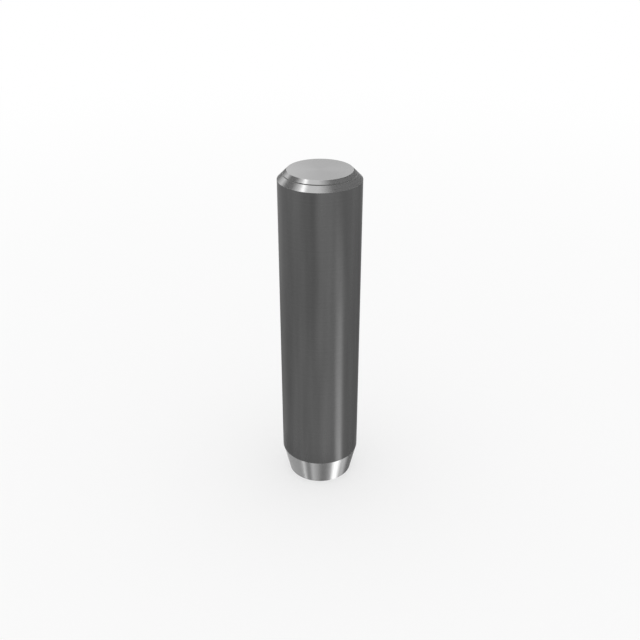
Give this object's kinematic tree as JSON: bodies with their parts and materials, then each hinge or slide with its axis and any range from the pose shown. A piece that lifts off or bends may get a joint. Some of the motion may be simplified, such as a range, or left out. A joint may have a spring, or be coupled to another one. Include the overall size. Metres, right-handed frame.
{
  "type": "taper lock stud",
  "caption": "Plain round steel stud with a dark straight shank, a bright chamfered upper end and a bright lead taper at the lower end.",
  "frame": {"origin": "middle of the lower end face, on the stud's axis", "axes": "+Z along the stud's axis, from the tapered end up to the chamfered end"},
  "size_m": [0.016, 0.016, 0.0675],
  "materials": {
    "blackened_steel": "dark satin oxide on the shank, bright turned steel on the end face, the chamfer and the taper"
  },
  "bodies": {
    "root": {"stud": "blackened_steel"}
  },
  "joints": []
}
